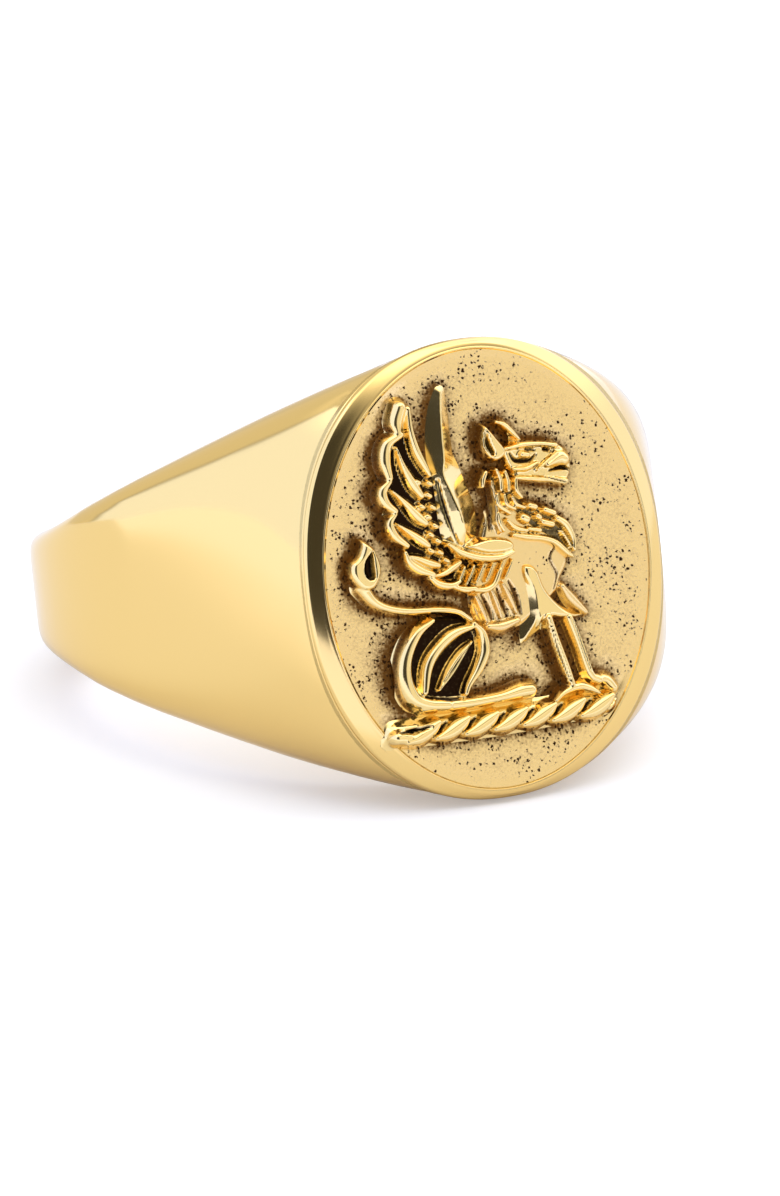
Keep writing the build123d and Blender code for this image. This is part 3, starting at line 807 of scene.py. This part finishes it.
# %% Mane
locks = [
    ((0.10, 3.34, 0.10), (-0.02, 3.1, 0.12), (-0.08, 2.85, 0.06)),
    ((0.50, 3.38, 0.08), (0.62, 3.0, 0.11), (0.60, 2.65, 0.07)),
    ((0.82, 3.28, 0.08), (0.90, 2.9, 0.11), (0.88, 2.6, 0.07)),
    ((1.20, 3.0, 0.08), (1.18, 2.6, 0.12), (1.35, 2.32, 0.08)),
    ((0.42, 2.55, 0.06), (0.46, 2.15, 0.12), (0.85, 1.82, 0.09)),
    ((0.70, 2.5, 0.06), (0.75, 2.15, 0.11), (1.05, 1.95, 0.08)),
    ((0.98, 2.4, 0.06), (1.12, 2.1, 0.11), (1.42, 1.95, 0.08)),
    ((0.40, 1.9, 0.07), (0.45, 1.5, 0.11), (0.55, 1.25, 0.07)),
    ((0.72, 1.6, 0.09), (1.0, 1.3, 0.13), (1.4, 1.15, 0.09)),
    ((1.62, 2.0, 0.14), (1.82, 1.92, 0.15)),
    ((2.18, 1.78, 0.14), (2.5, 1.62, 0.14)),
    ((1.34, 1.62, 0.19), (1.46, 1.54, 0.20)),
    ((1.88, 1.60, 0.14), (1.95, 1.54, 0.14)),
    ((2.08, 1.36, 0.15), (2.4, 1.24, 0.15)),
    ((1.5, 1.20, 0.10), (1.9, 1.10, 0.12)),
    ((0.9, 1.06, 0.10), (1.4, 0.93, 0.15), (2.0, 0.80, 0.14), (2.45, 0.60, 0.15), (2.85, 0.20, 0.14),
     (3.02, 0.06, 0.08)),
    ((2.62, 1.42, 0.14), (2.92, 1.15, 0.18), (3.12, 0.7, 0.15), (3.12, 0.28, 0.10)),
    ((2.72, 0.95, 0.05), (2.9, 0.6, 0.07), (3.0, 0.35, 0.04)),
]
# The low pad under the curls is painted dark, as shade between them.
mane_forms = [pad((0.4, 3.2), (1.2, 2.9), (1.4, 2.2), (2.1, 1.9), (2.8, 1.5), (3.15, 0.7), (2.95, 0.2),
                  (2.4, 0.7), (1.2, 1.0), (0.5, 1.3), (0.35, 2.2), height=0.10, shoulder=0.12, painted_shade_level=0.8)]
mane_forms += [bead(*line, height=0.48, shape=3.0) for line in locks]
make_relief("curled_mane", "mane", mane_forms, blend=0.015)

# %% [markdown]
# ## The pitted plate
# The ground behind the relief was matted with a punch and then darkened: scattered pits keep the
# brown.  A brown halo beside the relief is painted shade, strongest to the left of each form.  The
# plate's mesh is a square grid squeezed into an oval, so its edge is exact.  It sinks a little beside
# the relief, and the same attribute as on the relief carries the painted halo to the material.

# %% Make the plate
PLATE_GRID = 240
HALO_MM = 0.34
# Painted shade on the plate: the shift that puts it left of each form, its fade by the rim, its strengths.
SHADE_SHIFT_MM = 0.26
SHADE_FADE_AT_RIM = 0.12      # share of the plate beside the rim where the painted shade fades out
SINK_MM = 0.07
SINK_FADE = 0.05        # share of the plate beside the rim where it doesn't sink
CORNER_SHADE = ((0.18, 0.12), (0.18, 0.9))    # strength and reach in mm: in corners, and all over
LEFT_SIDE_SHADE = (0.72, 0.24)                # the same, left of each form
all_forms = (wreath_forms, hind_leg_forms, tail_forms, body_forms, near_foreleg_forms, far_foreleg_forms,
             wing_arm_forms, feather_forms, head_forms, mane_forms)


def distance_to_relief(across_mm, along_mm):
    """Distance to the nearest form, zero on the forms. It comes out about a fifth short and stops
    at 0.5 mm, so the painted shade and the sinking stay the same from there on."""
    nearest = np.full(across_mm.shape, 9.0)
    for form in (form for forms in all_forms for form in forms if "cut" not in form):
        if "outline" in form:
            flat = dict(form, shape=1.0, height=form["shoulder"])
            nearest = np.minimum(nearest, -height_of_pad(flat, across_mm, along_mm))
        else:
            flat = dict(form, shape=1.0, height=float(form["run"][:, 2:].mean()))
            nearest = np.minimum(nearest, -height_of_bead(flat, across_mm, along_mm))
    return np.maximum(nearest, 0)


def painted_shade_on_plate(across_mm, along_mm):
    """Painted shade: brown in the corners left of each form, and thinly all round."""
    away = distance_to_relief(across_mm, along_mm)
    before = distance_to_relief(across_mm + SHADE_SHIFT_MM, along_mm - 0.3 * SHADE_SHIFT_MM)
    brown = LEFT_SIDE_SHADE[0] * np.exp(-before / LEFT_SIDE_SHADE[1])
    for strength, reach_mm in CORNER_SHADE:
        brown = brown + strength * np.exp(-away / reach_mm)
    return np.minimum(brown, 1), np.exp(-away / HALO_MM)


def make_plate():
    """The oval plate with its sunk ground, in face coordinates."""
    bm = bmesh.new()
    bmesh.ops.create_grid(bm, x_segments=PLATE_GRID, y_segments=PLATE_GRID, size=1.0)
    square = np.array([vertex.co[:2] for vertex in bm.verts])
    across_mm = square[:, 0] * np.sqrt(1 - square[:, 1] ** 2 / 2) * PLATE_HALF_WIDTH
    along_mm = square[:, 1] * np.sqrt(1 - square[:, 0] ** 2 / 2) * PLATE_HALF_HEIGHT
    # The painted shade beside the relief, faded out beside the rim.
    brown, near = painted_shade_on_plate(across_mm, along_mm)
    to_rim = 1 - np.hypot(across_mm / PLATE_HALF_WIDTH, along_mm / PLATE_HALF_HEIGHT)
    brown = brown * np.clip(to_rim / SHADE_FADE_AT_RIM, 0, 1)
    sink = SINK_MM * near * np.clip(to_rim / SINK_FADE, 0, 1)
    layer = bm.verts.layers.float.new("painted_shade")
    for vertex, x, y, down, dark in zip(bm.verts, across_mm, along_mm, sink, brown):
        vertex.co = (x, y, -down)
        vertex[layer] = dark
    thickness = float(plate_high[2] - plate_low[2])
    skirt = bmesh.ops.extrude_edge_only(bm, edges=[edge for edge in bm.edges if edge.is_boundary])
    lower = [part for part in skirt["geom"] if isinstance(part, bmesh.types.BMVert)]
    bmesh.ops.translate(bm, verts=lower, vec=(0, 0, -thickness))
    bmesh.ops.holes_fill(bm, edges=[edge for edge in bm.edges if edge.is_boundary], sides=0)
    for edge in bm.edges:
        edge.smooth = edge.calc_face_angle(0) < math.radians(45)
    return bm


finish_piece("pitted_face_plate", make_plate(), FACE, ground_gold, "face_plate")

# %% [markdown]
# ## The table, the studio and the camera
# The ring lies on a white table.  Gold shows what is round it, so the studio matters as much as the
# metal: a big soft window at the left, a dark gap between it and the camera, a card at the right and
# soft light above.  The world draws these by direction, and the camera itself sees plain white.  The
# table is a sheet of matt white acrylic.  A cool pool of daylight is painted into its own glow before
# the ring, a little to the left, where only the ring's reflections show it.

# %% Table
FLOOR_HALF = 2.0
TO_POOL = (-0.475, -0.88, 0)      # level direction from the ring to the pool of daylight
POOL_COLOUR = (0.60, 0.72, 1.50, 1)  # colour of light, so it may pass 1
POOL_STARTS = 17 * MM
POOL_IS_FULL = 24 * MM
table_bm = bmesh.new()
bmesh.ops.create_grid(table_bm, x_segments=1, y_segments=1, size=FLOOR_HALF)
table_mesh = bpy.data.meshes.new("white_table")
table_bm.to_mesh(table_mesh)
table_bm.free()
table_top = bpy.data.objects.new("white_table", table_mesh)
bpy.context.scene.collection.objects.link(table_top)
table_paint, table_tree = new_material("matt_white_acrylic_table")
in_view = add_node(table_tree, "LightPath").outputs["Is Camera Ray"]
lift = add_node(table_tree, "MapRange", inputs={"Value": in_view, "To Min": 0.05, "To Max": 0.30})
on_table = add_node(table_tree, "TexCoord").outputs["Object"]
# The pool of daylight is painted light: the table glows there, in reflections only.
toward_pool = add_node(table_tree, "VectorMath", {"operation": "DOT_PRODUCT"}, {
    0: on_table, 1: TO_POOL})
pool = add_node(table_tree, "MapRange", {"interpolation_type": "SMOOTHSTEP"}, {
    "Value": toward_pool.outputs["Value"], "From Min": POOL_STARTS, "From Max": POOL_IS_FULL})
unseen = add_node(table_tree, "Math", {"operation": "SUBTRACT"}, {0: 1.0, 1: in_view})
painted_pool = add_node(table_tree, "Math", {"operation": "MULTIPLY"}, {
    0: pool.outputs["Result"], 1: unseen.outputs["Value"]})
colour_of_light = add_node(table_tree, "Mix", {"data_type": "RGBA"}, {
    "Factor": painted_pool.outputs["Value"], "A": (1, 1, 1, 1), "B": POOL_COLOUR})
strength_of_light = add_node(table_tree, "Math", {"operation": "MULTIPLY_ADD"}, {
    0: painted_pool.outputs["Value"], 1: 0.45, 2: lift.outputs["Result"]})
table_surface = add_node(table_tree, "BsdfPrincipled", inputs={
    "Base Color": hex_colour("#E4E4E4"), "Roughness": 0.8, "Specular IOR Level": 0.1,
    "Emission Color": colour_of_light.outputs["Result"],
    "Emission Strength": strength_of_light.outputs["Value"]})
add_node(table_tree, "OutputMaterial", inputs={"Surface": table_surface.outputs["BSDF"]})
table_mesh.materials.append(table_paint)
print("table:", table_top.name)

# %% Studio
world = bpy.data.worlds.new("studio")
bpy.context.scene.world = world
world.use_nodes = True
sky = world.node_tree
sky.nodes.clear()
direction = add_node(sky, "TexCoord").outputs["Generated"]
parts = add_node(sky, "SeparateXYZ", inputs={"Vector": direction})
toward = add_node(sky, "Math", {"operation": "MULTIPLY"}, {0: parts.outputs["Y"], 1: -1.0})
compass = add_node(sky, "Math", {"operation": "ARCTAN2"}, {
    0: parts.outputs["X"], 1: toward.outputs["Value"]}).outputs["Value"]
level = add_node(sky, "Math", {"operation": "ARCSINE"}, {0: parts.outputs["Z"]}).outputs["Value"]


def card(left, right, bottom, top, edge, strength):
    """A soft-edged rectangle of light, its sides given in degrees round and above the ring."""
    light = strength
    for angle, dark, bright in ((compass, left - edge, left + edge), (compass, right + edge, right - edge),
                                (level, bottom - edge, bottom + edge), (level, top + edge, top - edge)):
        fade = add_node(sky, "MapRange", {"interpolation_type": "SMOOTHSTEP"}, {
            "Value": angle, "From Min": math.radians(dark), "From Max": math.radians(bright)})
        light = add_node(sky, "Math", {"operation": "MULTIPLY"}, {
            0: light, 1: fade.outputs["Result"]}).outputs["Value"]
    return light


def all_cards(cards, everywhere=0.0):
    """Light of several cards together, over an even light from everywhere."""
    light = everywhere
    for sides in cards:
        light = add_node(sky, "Math", {"operation": "ADD"}, {
            0: light, 1: card(*sides)}).outputs["Value"]
    return light


light = all_cards((
    (-400, 400, 57.5, 200, 17.5, 1.9),    # overhead, all round the compass
    (-215, -134, -10, 50, 4, 0.74),       # back wall, left
    (-14, 125, 24, 200, 8, 0.50),         # screen above the camera
    (136, 215, -10, 42, 6, 0.68),         # back wall, right
    (2, 50, -12, 30, 8, 0.93),            # card right of the camera
    (50, 136, -10, 44, 6, 0.30),          # right wall
), everywhere=0.06)
window = all_cards((
    (-132, -64, -10, 60, 4, 1.15),        # the big window, left
    (60, 150, -6, 60, 8, 0.86),           # a second one, right
))
DAYLIGHT = (0.90, 1.06, 1.65)     # colour of light, so it may pass 1
warm = add_node(sky, "CombineXYZ", inputs={"X": light, "Y": light, "Z": light})
cool = add_node(sky, "VectorMath", {"operation": "SCALE"}, {0: DAYLIGHT, "Scale": window})
room = add_node(sky, "VectorMath", {"operation": "ADD"}, {
    0: warm.outputs["Vector"], 1: cool.outputs["Vector"]})
seen = add_node(sky, "LightPath").outputs["Is Camera Ray"]
shown = add_node(sky, "Mix", {"data_type": "VECTOR"}, {
    "Factor": seen, "A": room.outputs["Vector"], "B": (1, 1, 1)})
glow = add_node(sky, "Background", inputs={"Color": shown.outputs["Result"]})
add_node(sky, "OutputWorld", inputs={"Surface": glow.outputs["Background"]})
print("studio:", len(sky.nodes), "world nodes")

# %% Camera
VIEW_AZIMUTH = -24.4
VIEW_ELEVATION = 19.1
DISTANCE_MM = 250.0
PICTURE_HEIGHT_MM = 43.1          # height of the picture at the ring
AIM_RIGHT_MM = 1.59               # from the bore's middle to the middle of the picture
AIM_DOWN_MM = 1.53
azimuth, elevation = math.radians(VIEW_AZIMUTH), math.radians(VIEW_ELEVATION)
back = Vector((math.sin(azimuth) * math.cos(elevation), -math.cos(azimuth) * math.cos(elevation),
               math.sin(elevation)))
right = Vector((math.cos(azimuth), math.sin(azimuth), 0))
up = back.cross(right)
aim = Vector(bore["pos_m"]) + (right * AIM_RIGHT_MM - up * AIM_DOWN_MM) * MM
camera = bpy.data.objects.new("camera", bpy.data.cameras.new("camera"))
camera.location = aim + back * DISTANCE_MM * MM
camera.rotation_euler = (-back).to_track_quat("-Z", "Y").to_euler()
camera.data.sensor_width = 36.0
camera.data.lens = camera.data.sensor_width * DISTANCE_MM / PICTURE_HEIGHT_MM
camera.data.clip_start = 0.01
camera.data.clip_end = 10.0
bpy.context.scene.collection.objects.link(camera)
bpy.context.scene.camera = camera
bpy.context.scene.view_settings.view_transform = "Standard"
print(f"lens {camera.data.lens:.0f} mm")
